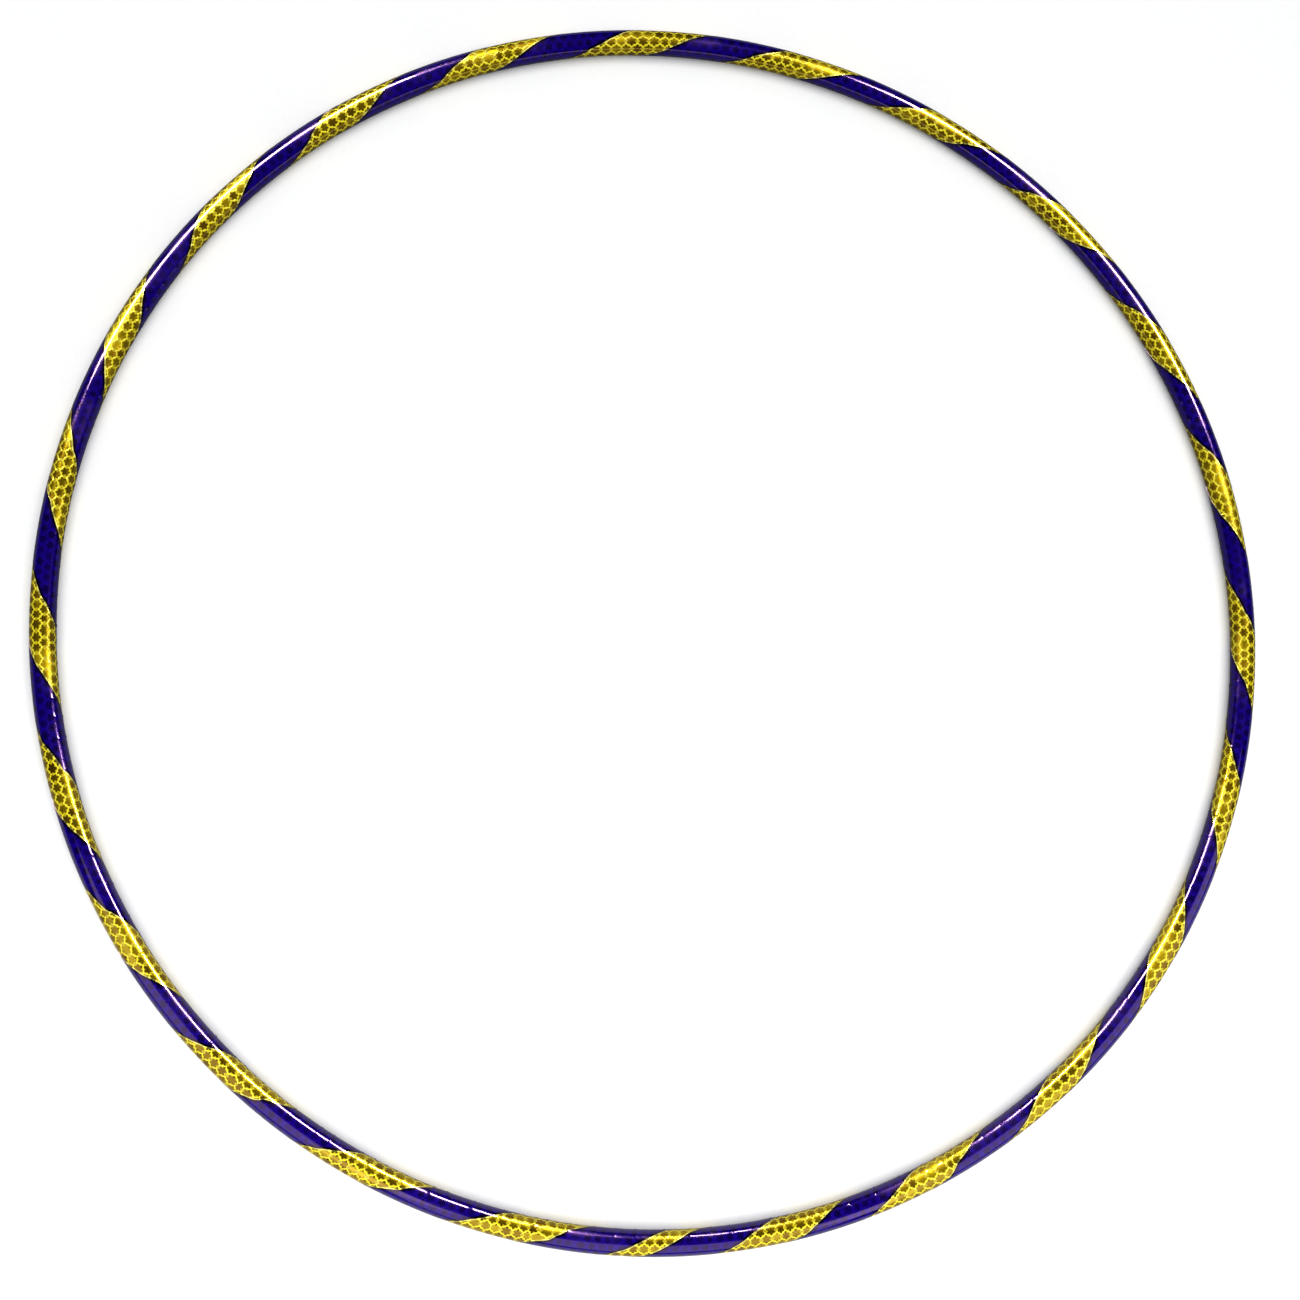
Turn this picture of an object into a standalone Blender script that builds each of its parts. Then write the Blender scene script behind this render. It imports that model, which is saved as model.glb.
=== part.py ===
"""Rhythmic gymnastics hoop: a bent plastic tube, joined in one place and wound with two tapes.

World units are metres and +Z is up. The hoop lies flat on Z = 0, centred on the Z axis, with its
join at -Y. Two angles give a place on it. Theta runs round the hoop, counter-clockwise seen from
above, with 0 at -Y. Psi runs round the tube's section: 0 faces outward, 90 degrees faces up,
180 degrees faces the middle of the hoop and 270 degrees faces down.
"""

import math

import bmesh
import bpy
from mathutils import Vector

# The hoop and its tube
INSIDE_DIAMETER = 0.800  # clear width through the finished hoop
TUBE_DIAMETER = 0.0152
TUBE_WALL = 0.0022
TUBE_END_GAP = 0.0006  # between the two square-cut ends of the tube

# The tapes: the base tape covers the tube, and the top tape is a narrower spiral over it
WRAP_PITCH = 0.1081  # advance along the tube's centreline in one turn
BASE_TAPE_THICKNESS = 0.00015
BASE_TAPE_SEAM = 0.0010  # between neighbouring turns, along the tube
BASE_TAPE_END_GAP = 0.0012
TOP_TAPE_THICKNESS = 0.00015
TOP_TAPE_SPAN = 0.0556  # width of one turn, measured along the tube
TOP_TAPE_END_GAP = 0.0020  # round the section, between the tape's two ends
TOP_TAPE_START = 0.0374  # from the join to the first turn's middle, along the top of the tube
TOP_TAPE_LEAST_GAP = 0.0100  # left between the first and last turns, along the tube
LAYER_CLEARANCE = 0.0003

# The tapes are wound by hand, so their turns run ahead of an even winding and fall behind it
WRAP_AHEAD = 0.0169  # along the tube, at the place where the turns are furthest ahead
WRAP_AHEAD_AT = math.radians(221)
WRAP_LAG = 0.0145  # the first turns after the join fall behind by this much more
WRAP_LAG_AT = math.radians(30)
WRAP_LAG_SHARPNESS = 12.0

# The connector inside the tube's two ends
CONNECTOR_LENGTH = 0.110
CONNECTOR_WALL = 0.0014
CONNECTOR_CLEARANCE = 0.0003

# The blind rivets, one on each side of the join, set from the inner side of the hoop
RIVET_FROM_JOIN = 0.028
RIVET_SHANK_DIAMETER = 0.0032
RIVET_HEAD_DIAMETER = 0.0050
RIVET_HEAD_DEPTH = 0.0010
RIVET_BULB_DIAMETER = 0.0040
RIVET_BULB_LENGTH = 0.0014
RIVET_BULB_CHAMFER = 0.0005
RIVET_CLEARANCE = 0.0003
MANDREL_DIAMETER = 0.0014
MANDREL_TIP_DIAMETER = 0.0024
MANDREL_TIP_LENGTH = 0.0008
MANDREL_CLEARANCE = 0.0002

# Fineness of the solids
SECTION_SIDES = 12
RIVET_SIDES = 16
CHORD_ERROR = 0.74 * LAYER_CLEARANCE  # most that a straight run stands off the circle
MERGE_DISTANCE = 0.00001
SHARP_ANGLE = math.radians(40)

# Radii of the section, from the bare tube outward
TUBE_RADIUS = TUBE_DIAMETER / 2
BASE_TAPE_RADIUS = TUBE_RADIUS + LAYER_CLEARANCE
TOP_TAPE_RADIUS = BASE_TAPE_RADIUS + BASE_TAPE_THICKNESS + LAYER_CLEARANCE
FINISHED_RADIUS = TOP_TAPE_RADIUS + TOP_TAPE_THICKNESS
CONNECTOR_RADIUS = TUBE_RADIUS - TUBE_WALL - CONNECTOR_CLEARANCE
CONNECTOR_BORE_RADIUS = CONNECTOR_RADIUS - CONNECTOR_WALL
HOOP_RADIUS = INSIDE_DIAMETER / 2 + FINISHED_RADIUS
HOOP_LENGTH = 2 * math.pi * HOOP_RADIUS

# Places round the hoop and round the section, as angles
FULL_TURN = 2 * math.pi
TOP_OF_SECTION = math.pi / 2
SIDE_ANGLE = FULL_TURN / SECTION_SIDES
CHORD_ANGLE = 2 * math.acos(1 - CHORD_ERROR / HOOP_RADIUS)
PITCH_ANGLE = WRAP_PITCH / HOOP_RADIUS
TOP_TAPE_FIRST = TOP_TAPE_START / HOOP_RADIUS
RIVET_ANGLE = RIVET_FROM_JOIN / HOOP_RADIUS
# Most that the hand winding stretches a tape's straight runs; 0.61 is a bell curve's steepest
LAG_SLOPE = 0.61 * WRAP_LAG * math.sqrt(WRAP_LAG_SHARPNESS)
DRIFT_STRETCH = 1 + (WRAP_AHEAD + LAG_SLOPE) / HOOP_RADIUS


def clear_scene():
    for obj in list(bpy.data.objects):
        bpy.data.objects.remove(obj)


def new_collection(name):
    collection = bpy.data.collections.new(name)
    bpy.context.scene.collection.children.link(collection)
    return collection


def new_material(name, colour, roughness, metallic):
    material = bpy.data.materials.new(name)
    material.use_nodes = True
    shader = material.node_tree.nodes["Principled BSDF"]
    shader.inputs["Base Color"].default_value = (*colour, 1.0)
    shader.inputs["Roughness"].default_value = roughness
    shader.inputs["Metallic"].default_value = metallic
    return material


def new_object(name, bm, collection, material=None):
    mesh = bpy.data.meshes.new(name)
    bm.to_mesh(mesh)
    bm.free()
    obj = bpy.data.objects.new(name, mesh)
    collection.objects.link(obj)
    if material:
        mesh.materials.append(material)
    mesh.shade_smooth()
    mesh.set_sharp_from_angle(angle=SHARP_ANGLE)
    return obj


def turn_profile(name, points, steps, angle, collection, material=None, closed=True):
    """Turn a profile of (radius, height) points about Z; it runs down its outer side."""
    bm = bmesh.new()
    verts = [bm.verts.new((radius, 0, height)) for radius, height in points]
    for vert, following in zip(verts, verts[1:]):
        bm.edges.new((vert, following))
    if closed:
        bm.edges.new((verts[-1], verts[0]))
    obj = new_object(name, bm, collection, material)
    screw = obj.modifiers.new("turn", "SCREW")
    screw.angle = angle
    screw.steps = steps
    screw.render_steps = steps
    screw.use_smooth_shade = True
    screw.use_merge_vertices = angle == FULL_TURN
    screw.merge_threshold = MERGE_DISTANCE
    return obj


def facet_reach(radius, psi):
    """From the section's centre to its polygon, whose flats face up, down, in and out."""
    from_flat = (psi + SIDE_ANGLE / 2) % SIDE_ANGLE - SIDE_ANGLE / 2
    return radius / math.cos(from_flat)


def section_point(radius, psi):
    """(distance from the hoop's axis, height) of a point on the faceted section."""
    reach = facet_reach(radius, psi)
    return (HOOP_RADIUS + reach * math.cos(psi), FINISHED_RADIUS + reach * math.sin(psi))


def hoop_point(theta, psi, radius):
    from_axis, height = section_point(radius, psi)
    return Vector((from_axis * math.sin(theta), -from_axis * math.cos(theta), height))


def bent_pipe(name, radius, wall, theta_start, theta_end, collection, material):
    """Pipe bent along the hoop from one angle to another, open at both ends."""
    corners = [-(side + 0.5) * SIDE_ANGLE for side in range(SECTION_SIDES)]
    section = [section_point(radius, psi) for psi in corners]
    angle = theta_end - theta_start
    steps = math.ceil(angle / CHORD_ANGLE)
    pipe = turn_profile(name, section, steps, angle, collection, material)
    pipe.rotation_euler.z = theta_start - math.pi / 2
    shell = pipe.modifiers.new("wall", "SOLIDIFY")
    shell.thickness = wall
    shell.offset = -1.0
    shell.use_even_offset = True
    return pipe


def tape_strip(theta_middle, span, psi_start, psi_end):
    """The tape laid out flat: x is theta, y is psi, and each turn leans by the pitch.

    Theta_middle is where the strip's middle would cross psi = 0.
    """
    columns = math.ceil(span * DRIFT_STRETCH / CHORD_ANGLE)
    first = math.floor(psi_start / SIDE_ANGLE + 0.5)
    last = math.ceil(psi_end / SIDE_ANGLE - 0.5)
    corners = [(side + 0.5) * SIDE_ANGLE for side in range(first, last)]
    rows = [psi_start, *corners, psi_end]
    bm = bmesh.new()
    bmesh.ops.create_grid(bm, x_segments=columns, y_segments=len(rows) - 1, size=0.5)
    for vert in bm.verts:
        psi = rows[round((vert.co.y + 0.5) * (len(rows) - 1))]
        lean = PITCH_ANGLE * psi / FULL_TURN
        vert.co = (theta_middle + lean + span * vert.co.x, psi, 0)
    return bm


def trim_strip(bm, theta_start, theta_end):
    """Cut the flat tape square across the tube at both ends of the hoop."""
    for theta, away in ((theta_start, -1), (theta_end, 1)):
        everything = bm.verts[:] + bm.edges[:] + bm.faces[:]
        bmesh.ops.bisect_plane(
            bm, geom=everything, dist=MERGE_DISTANCE, plane_co=(theta, 0, 0),
            plane_no=(away, 0, 0), clear_outer=True,
        )


def winding_lead(theta):
    """How far round the hoop the hand-wound turns are ahead of an even winding."""
    ahead = WRAP_AHEAD * math.cos(theta - WRAP_AHEAD_AT)
    lag = WRAP_LAG * math.exp(WRAP_LAG_SHARPNESS * (math.cos(theta - WRAP_LAG_AT) - 1))
    return (ahead - lag) / HOOP_RADIUS


def wound_theta(theta):
    """Theta after winding by hand; the join keeps its place."""
    return theta + winding_lead(theta) - winding_lead(0)


def wind_tape(name, bm, radius, thickness, collection, material):
    """Wind a flat tape round the tube at this radius; its thickness is added outward."""
    for vert in bm.verts:
        vert.co = hoop_point(wound_theta(vert.co.x), vert.co.y, radius)
    bmesh.ops.triangulate(bm, faces=bm.faces[:], quad_method="SHORT_EDGE")
    tape = new_object(name, bm, collection, material)
    layer = tape.modifiers.new("thickness", "SOLIDIFY")
    layer.thickness = thickness
    layer.offset = 1.0
    layer.use_even_offset = True
    return tape


def make_base_tape(collection):
    """One long tape whose turns meet edge to edge, trimmed square at the join."""
    material = new_material("gold_film", (0.78, 0.58, 0.03), 0.28, 0.9)
    end_angle = BASE_TAPE_END_GAP / (2 * HOOP_RADIUS)
    span = PITCH_ANGLE - BASE_TAPE_SEAM / HOOP_RADIUS
    # The seam between turns runs under the middle of the top tape.
    at_side = TOP_TAPE_FIRST - PITCH_ANGLE * TOP_OF_SECTION / FULL_TURN
    middle = at_side + PITCH_ANGLE / 2
    turns_before = math.ceil(middle / PITCH_ANGLE) + 1
    turns_after = math.ceil((FULL_TURN - middle) / PITCH_ANGLE) + 1
    strip = tape_strip(middle, span, -turns_before * FULL_TURN, turns_after * FULL_TURN)
    trim_strip(strip, end_angle, FULL_TURN - end_angle)
    return wind_tape("base_tape", strip, BASE_TAPE_RADIUS, BASE_TAPE_THICKNESS,
                     collection, material)


def make_top_tape(collection):
    """A spiral over the base tape, from the underside of the join right round to it again."""
    material = new_material("violet_film", (0.035, 0.004, 0.22), 0.08, 0.2)
    end_half = TOP_TAPE_END_GAP / (2 * FINISHED_RADIUS)
    at_side = TOP_TAPE_FIRST - PITCH_ANGLE * TOP_OF_SECTION / FULL_TURN
    turns = math.floor((HOOP_LENGTH - TOP_TAPE_SPAN - TOP_TAPE_LEAST_GAP) / WRAP_PITCH)
    psi_start = TOP_OF_SECTION - math.pi + end_half
    psi_end = TOP_OF_SECTION + FULL_TURN * turns + math.pi - end_half
    strip = tape_strip(at_side, TOP_TAPE_SPAN / HOOP_RADIUS, psi_start, psi_end)
    return wind_tape("top_tape", strip, TOP_TAPE_RADIUS, TOP_TAPE_THICKNESS,
                     collection, material)


def sagitta(radius, half_width):
    """How far a round surface falls away at this distance from its crown."""
    return radius - math.sqrt(radius ** 2 - half_width ** 2)


def head_depths():
    """Depths of the countersunk head: its rim is flush with the tube's round side."""
    head_top = sagitta(TUBE_RADIUS, RIVET_HEAD_DIAMETER / 2)
    return head_top, head_top + RIVET_HEAD_DEPTH


def bulb_depths():
    """Depths of the bulb, which starts where the connector's bore is wide enough for it."""
    bore_face = TUBE_WALL + CONNECTOR_CLEARANCE + CONNECTOR_WALL
    bulb_room = RIVET_BULB_DIAMETER / 2 + RIVET_CLEARANCE
    bulb_start = bore_face + sagitta(CONNECTOR_BORE_RADIUS, bulb_room)
    return bulb_start, bulb_start + RIVET_BULB_LENGTH


def place_on_radius(obj, theta):
    """Stand a turned piece on the tube's inner side, with its local +Z to the hoop's middle."""
    inner_side = HOOP_RADIUS - TUBE_RADIUS
    obj.location = (inner_side * math.sin(theta), -inner_side * math.cos(theta),
                    FINISHED_RADIUS)
    obj.rotation_euler = (-math.pi / 2, 0, theta)


def make_rivet(name, theta, collection, material):
    """A countersunk blind rivet, set: its bulb grips behind the connector."""
    bore = MANDREL_DIAMETER / 2 + MANDREL_CLEARANCE
    shank = RIVET_SHANK_DIAMETER / 2
    bulb = RIVET_BULB_DIAMETER / 2
    head_top, head_base = head_depths()
    bulb_start, bulb_end = bulb_depths()
    profile = [
        (bore, -head_top),
        (RIVET_HEAD_DIAMETER / 2, -head_top),
        (shank, -head_base),
        (shank, -bulb_start),
        (bulb, -bulb_start - RIVET_BULB_CHAMFER),
        (bulb, -bulb_end + RIVET_BULB_CHAMFER),
        (shank, -bulb_end),
        (bore, -bulb_end),
    ]
    rivet = turn_profile(name, profile, RIVET_SIDES, FULL_TURN, collection, material)
    place_on_radius(rivet, theta)
    return rivet


def make_mandrel(name, theta, collection, material):
    """The stub of the rivet's pull stem, snapped off under the head, and its pulled-in tip."""
    snapped_at = head_depths()[1]
    stem = MANDREL_DIAMETER / 2
    tip = MANDREL_TIP_DIAMETER / 2
    tip_start = -bulb_depths()[1] - RIVET_CLEARANCE
    profile = [
        (0, -snapped_at),
        (stem, -snapped_at),
        (stem, tip_start),
        (tip, tip_start),
        (tip, tip_start - MANDREL_TIP_LENGTH),
        (0, tip_start - MANDREL_TIP_LENGTH),
    ]
    mandrel = turn_profile(name, profile, RIVET_SIDES, FULL_TURN, collection, material,
                           closed=False)
    place_on_radius(mandrel, theta)
    return mandrel


def make_rivet_cutter(name, theta, collection):
    """The rivet's drilled hole and countersink, through the tube and the connector."""
    shank = RIVET_SHANK_DIAMETER / 2 + RIVET_CLEARANCE
    head = RIVET_HEAD_DIAMETER / 2 + RIVET_CLEARANCE
    head_top, head_base = head_depths()
    depth = bulb_depths()[1]
    profile = [
        (0, LAYER_CLEARANCE),
        (head, LAYER_CLEARANCE),
        (head, -head_top),
        (shank, -head_base - RIVET_CLEARANCE),
        (shank, -depth),
        (0, -depth),
    ]
    cutter = turn_profile(name, profile, RIVET_SIDES, FULL_TURN, collection, closed=False)
    place_on_radius(cutter, theta)
    cutter.hide_render = True
    cutter.display_type = "WIRE"
    return cutter


def drill(obj, cutters):
    for cutter in cutters:
        cut = obj.modifiers.new("drill", "BOOLEAN")
        cut.operation = "DIFFERENCE"
        cut.object = cutter


def make_hoop():
    hoop = new_collection("rhythmic_hoop")
    helpers = new_collection("cutters")
    plastic = new_material("tube_plastic", (0.82, 0.83, 0.80), 0.4, 0.0)
    sleeve_plastic = new_material("connector_plastic", (0.06, 0.06, 0.07), 0.5, 0.0)
    aluminium = new_material("rivet_aluminium", (0.75, 0.76, 0.78), 0.35, 1.0)
    steel = new_material("mandrel_steel", (0.45, 0.45, 0.47), 0.4, 1.0)

    end_angle = TUBE_END_GAP / (2 * HOOP_RADIUS)
    tube = bent_pipe("hoop_tube", TUBE_RADIUS, TUBE_WALL, end_angle, FULL_TURN - end_angle,
                     hoop, plastic)
    half_connector = CONNECTOR_LENGTH / (2 * HOOP_RADIUS)
    connector = bent_pipe("join_connector", CONNECTOR_RADIUS, CONNECTOR_WALL,
                          -half_connector, half_connector, hoop, sleeve_plastic)
    cutters = []
    for side, theta in (("left", -RIVET_ANGLE), ("right", RIVET_ANGLE)):
        make_rivet("rivet_" + side, theta, hoop, aluminium)
        make_mandrel("rivet_mandrel_" + side, theta, hoop, steel)
        cutters.append(make_rivet_cutter("hole_" + side, theta, helpers))
    drill(tube, cutters)
    drill(connector, cutters)
    make_base_tape(hoop)
    make_top_tape(hoop)


clear_scene()
make_hoop()
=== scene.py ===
# %% [markdown]
# # A rhythmic gymnastics hoop
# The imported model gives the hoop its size, its place and its hidden pieces: a bent plastic tube,
# the connector inside its two ends, and the rivets that hold them. This lesson makes what can be
# seen: two shiny tapes wound round that tube, a gold one with small stars and a dark violet one
# in a spiral over it. Everything is placed from the model's own box, so nothing has to be fitted.

# %% Load the model
import math

import bmesh
import bpy
import numpy as np
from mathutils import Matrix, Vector


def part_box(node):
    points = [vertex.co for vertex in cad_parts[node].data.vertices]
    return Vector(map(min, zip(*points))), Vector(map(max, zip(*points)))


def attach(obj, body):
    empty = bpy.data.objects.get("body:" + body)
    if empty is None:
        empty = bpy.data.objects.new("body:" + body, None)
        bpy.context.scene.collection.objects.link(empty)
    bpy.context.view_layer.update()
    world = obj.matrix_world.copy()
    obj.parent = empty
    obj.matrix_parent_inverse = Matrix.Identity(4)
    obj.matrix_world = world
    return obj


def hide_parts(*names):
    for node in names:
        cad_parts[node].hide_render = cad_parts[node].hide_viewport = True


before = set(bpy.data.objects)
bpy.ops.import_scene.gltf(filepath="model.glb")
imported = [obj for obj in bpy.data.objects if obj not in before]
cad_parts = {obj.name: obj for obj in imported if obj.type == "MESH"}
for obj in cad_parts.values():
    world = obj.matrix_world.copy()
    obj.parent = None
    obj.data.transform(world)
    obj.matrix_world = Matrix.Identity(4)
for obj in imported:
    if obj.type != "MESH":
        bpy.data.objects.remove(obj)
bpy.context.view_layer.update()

print("pieces of the model:", ", ".join(sorted(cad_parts)))

# %% [markdown]
# A place on a hoop is easiest to give with two angles. Theta runs round the hoop, with 0 at the
# side nearest the viewer, and psi runs round the tube's section: 0 faces outward, 90 degrees
# faces up, 180 degrees faces the middle and 270 degrees faces the floor. The top tape is the
# outermost layer, so its box gives the size of the finished tube and of the ring it follows.

# %% Measure the hoop
low, high = (Vector(corner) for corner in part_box("top_tape"))
FINISHED_RADIUS = (high.z - low.z) / 2
TUBE_HEIGHT = (high.z + low.z) / 2
HOOP_RADIUS = (high.x - low.x) / 2 - FINISHED_RADIUS
FULL_TURN = 2 * math.pi
HOOP_LENGTH = FULL_TURN * HOOP_RADIUS
TUBE_GIRTH = FULL_TURN * FINISHED_RADIUS
print(f"tube {2000 * FINISHED_RADIUS:.1f} mm thick, {1000 * HOOP_LENGTH:.0f} mm long")

# %% [markdown]
# The tapes were wound by hand at one slant. The slant is set by the pitch: how far a tape moves
# along the tube while it goes round it once. The violet tape covers a little more than half of
# each pitch, so the gold shows as stripes nearly as wide. The winding starts and ends near the
# join, where one gold stripe comes out narrower than the rest.

# %% Set out the winding
TURNS = 24
PITCH = 0.1081
VIOLET_SPAN = 0.0556
FIRST_CROSSING = 0.0374
PITCH_ANGLE = PITCH / HOOP_RADIUS
SPAN_ANGLE = VIOLET_SPAN / HOOP_RADIUS
TOP = math.pi / 2
UNDERSIDE = -math.pi / 2


def tape_middle(turn, psi):
    """Theta of the violet tape's middle on this turn; psi starts at the underside."""
    return FIRST_CROSSING / HOOP_RADIUS + PITCH_ANGLE * (turn + (psi - TOP) / FULL_TURN)


gap = FULL_TURN - (TURNS - 1) * PITCH_ANGLE - SPAN_ANGLE
print(f"{TURNS} violet turns, and {1000 * gap * HOOP_RADIUS:.0f} mm of gold at the join")

# %% [markdown]
# Where a straight tape bends round the inside of a ring it has too much length, and it buckles
# into short creases across the tube. They come at uneven distances, and each one is a little
# ridge of its own height, width and tilt. On the far side the film was smoothed down better, so
# the ridges there are low. Drawing the numbers from a seeded generator gives the same creases on
# every run.

# %% Scatter the creases
CREASE_LEAST_SPACING = 0.008
CREASE_MOST_SPACING = 0.026
CREASE_HEIGHTS = (0.00012, 0.00040)
CREASE_HALF_WIDTHS = (0.00045, 0.00085)
CREASE_TILT = 0.0022
CREASE_INNER_SIDE = math.pi
CREASE_OFF_MIDDLE = 0.25
CREASE_REACHES = (0.75, 1.25)
SMOOTHED_SHARE = 0.85
SMOOTHED_SHARPNESS = 3
RANDOM_SEED = 24
random_source = np.random.default_rng(RANDOM_SEED)


def scatter_creases():
    """One row for each crease: theta, height, half width, tilt, middle psi, reach in psi."""
    creases = []
    along = CREASE_LEAST_SPACING
    while along < HOOP_LENGTH - CREASE_LEAST_SPACING:
        theta = along / HOOP_RADIUS
        far_side = 0.5 - 0.5 * math.cos(theta)
        strength = 1.0 - SMOOTHED_SHARE * far_side ** SMOOTHED_SHARPNESS
        creases.append((
            theta,
            strength * random_source.uniform(*CREASE_HEIGHTS),
            random_source.uniform(*CREASE_HALF_WIDTHS),
            random_source.uniform(-CREASE_TILT, CREASE_TILT) / HOOP_RADIUS,
            CREASE_INNER_SIDE + random_source.uniform(-CREASE_OFF_MIDDLE, CREASE_OFF_MIDDLE),
            random_source.uniform(*CREASE_REACHES),
        ))
        along += random_source.uniform(CREASE_LEAST_SPACING, CREASE_MOST_SPACING)
    return np.array(creases)


creases = scatter_creases()
print(len(creases), "creases round the inner side")

# %% [markdown]
# Both tapes are cut from one flat sheet: the tube's surface rolled out, theta along it and psi
# across it. On the flat sheet the edges of a wound tape are straight slanting lines, so Bisect
# can cut them exactly. The sheet's columns stand closer together at each crease, which gives
# the ridge enough points without making the whole mesh heavy.

# %% Roll out a flat sheet
ROWS = 48
COLUMN_STEP = 0.0042
CREASE_COLUMNS = (-1.7, -0.85, 0.0, 0.85, 1.7)
LEAST_COLUMN_GAP = 0.0002
CLEAR_OF_CREASE = 0.0008


def sheet_columns():
    plain = np.linspace(0, FULL_TURN, round(HOOP_LENGTH / COLUMN_STEP) + 1)
    fine = (creases[:, :1] + creases[:, 2:3] / HOOP_RADIUS * CREASE_COLUMNS).ravel()
    fine = np.unique(np.round(fine[(fine > 0) & (fine < FULL_TURN)], 7))
    fine = fine[np.concatenate([[True], np.diff(fine) > LEAST_COLUMN_GAP / HOOP_RADIUS])]
    nearest = np.abs(plain[:, None] - fine[None, :]).min(axis=1)
    keep = nearest > CLEAR_OF_CREASE / HOOP_RADIUS
    keep[[0, -1]] = True
    return np.sort(np.concatenate([plain[keep], fine]))


def flat_sheet():
    columns = sheet_columns()
    rows = UNDERSIDE + np.linspace(0, FULL_TURN, ROWS + 1)
    theta, psi = np.meshgrid(columns, rows, indexing="ij")
    points = np.stack([theta.ravel(), psi.ravel(), 0 * psi.ravel()], axis=1)
    start = np.arange(len(columns) - 1)[:, None] * (ROWS + 1) + np.arange(ROWS)[None, :]
    start = start.ravel()
    faces = np.stack([start, start + ROWS + 1, start + ROWS + 2, start + 1], axis=1)
    mesh = bpy.data.meshes.new("flat sheet")
    mesh.from_pydata(points.tolist(), [], faces.tolist())
    bm = bmesh.new()
    bm.from_mesh(mesh)
    bpy.data.meshes.remove(mesh)
    print(len(columns), "columns and", ROWS, "rows")
    return bm


sheet = flat_sheet()

# %% [markdown]
# Each violet turn has two edges, and each edge is one cut. A turn near the join runs off one end
# of the sheet and comes in at the other, so its edges are cut there as well. Only the faces that
# a line can reach are handed to Bisect, which keeps the many cuts quick.

# %% Cut the tapes' edges
CUT_MARGIN = 0.02
END_MARGIN = 0.01
ON_THE_LINE = 1e-6
WAYS_ROUND = (0, -FULL_TURN, FULL_TURN)


def cut_slanting_line(bm, theta_at_underside):
    """Cut along theta = start + pitch * (psi - underside) / full turn."""
    slope = PITCH_ANGLE / FULL_TURN
    before = theta_at_underside - CUT_MARGIN
    after = theta_at_underside + (PITCH_ANGLE + CUT_MARGIN)
    faces = [face for face in bm.faces if before < face.verts[0].co.x < after]
    if not faces:
        return
    edges = {edge for face in faces for edge in face.edges}
    verts = {vert for face in faces for vert in face.verts}
    bmesh.ops.bisect_plane(
        bm, geom=[*verts, *edges, *faces], dist=ON_THE_LINE,
        plane_co=(theta_at_underside, UNDERSIDE, 0), plane_no=(1, -slope, 0),
    )


for turn in range(TURNS):
    for side in (-0.5, 0.5):
        edge_start = tape_middle(turn, UNDERSIDE) + side * SPAN_ANGLE
        for shift in WAYS_ROUND:
            if -PITCH_ANGLE - END_MARGIN < edge_start + shift < FULL_TURN + END_MARGIN:
                cut_slanting_line(sheet, edge_start + shift)
print(len(sheet.faces), "faces after cutting")

# %% [markdown]
# Now every face lies either under a violet turn or between two of them. The distance from a
# point to the nearest tape edge is kept for every corner, because the finishes need it: they paint
# a thin dark line of shadow along the violet tape's cut edge and a thin highlight on the gold
# beside it, where the tape's thickness would catch the light.

# %% Sort the faces into two tapes
FAR_OUTSIDE = -1.0
MOST_CORNERS = 4


def edge_distance(theta, psi):
    """Metres along the tube to the nearest violet edge: above 0 on violet, below 0 on gold."""
    best = np.full(np.shape(theta), FAR_OUTSIDE)
    for turn in range(TURNS):
        middle = tape_middle(turn, psi)
        for shift in WAYS_ROUND:
            inside = SPAN_ANGLE / 2 - np.abs(theta - middle - shift)
            best = np.maximum(best, inside)
    return best * HOOP_RADIUS


def read_sheet(bm):
    many_sided = [face for face in bm.faces if len(face.verts) > MOST_CORNERS]
    bmesh.ops.triangulate(bm, faces=many_sided, ngon_method="BEAUTY")
    bm.verts.ensure_lookup_table()
    bm.verts.index_update()
    points = np.array([vert.co[:2] for vert in bm.verts])
    faces = [[vert.index for vert in face.verts] for face in bm.faces]
    middles = np.array([points[face].mean(axis=0) for face in faces])
    return points, faces, middles


flat_points, flat_faces, flat_middles = read_sheet(sheet)
sheet.free()
on_violet = edge_distance(flat_middles[:, 0], flat_middles[:, 1]) > 0
print(on_violet.sum(), "faces on the violet tape,", (~on_violet).sum(), "on the gold")

# %% [markdown]
# Winding the flat sheet onto the ring is one formula. A hand never keeps quite the same slant, so
# the winding runs ahead on one side of the hoop, and the first turns after the join fall behind.
# These are the same numbers as in the model. The creases are added while it is wound: a ridge is
# a bell curve across its own line, fading out where the tube's inner side turns away. The line
# leans a little, so the columns near it lean with it.

# %% Wind flat points onto the ring
CREASE_LEAN_REACH = 0.004
LEANS_WITHIN = 3
RISES_WITHIN = 4
CREASE_END_ROUNDING = 0.7
AHEAD = 0.0169
AHEAD_AT = math.radians(221)
LAG = 0.0145
LAG_AT = math.radians(30)
LAG_SHARPNESS = 12.0


def winding_lead(theta):
    """How far round the hoop the hand-wound turns are ahead of an even winding."""
    lag = LAG * np.exp(LAG_SHARPNESS * (np.cos(theta - LAG_AT) - 1))
    return (AHEAD * np.cos(theta - AHEAD_AT) - lag) / HOOP_RADIUS


def crease_lean(theta, psi):
    """How far the mesh leans along the tube to follow the creases near it."""
    lean = np.zeros(len(theta))
    for at, _, _, tilt, middle, _ in creases:
        near = np.abs(theta - at) < LEANS_WITHIN * CREASE_LEAN_REACH / HOOP_RADIUS
        offset = (theta[near] - at) * HOOP_RADIUS / CREASE_LEAN_REACH
        lean[near] += tilt * np.sin(psi[near] - middle) * np.exp(-offset ** 2)
    return lean


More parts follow.
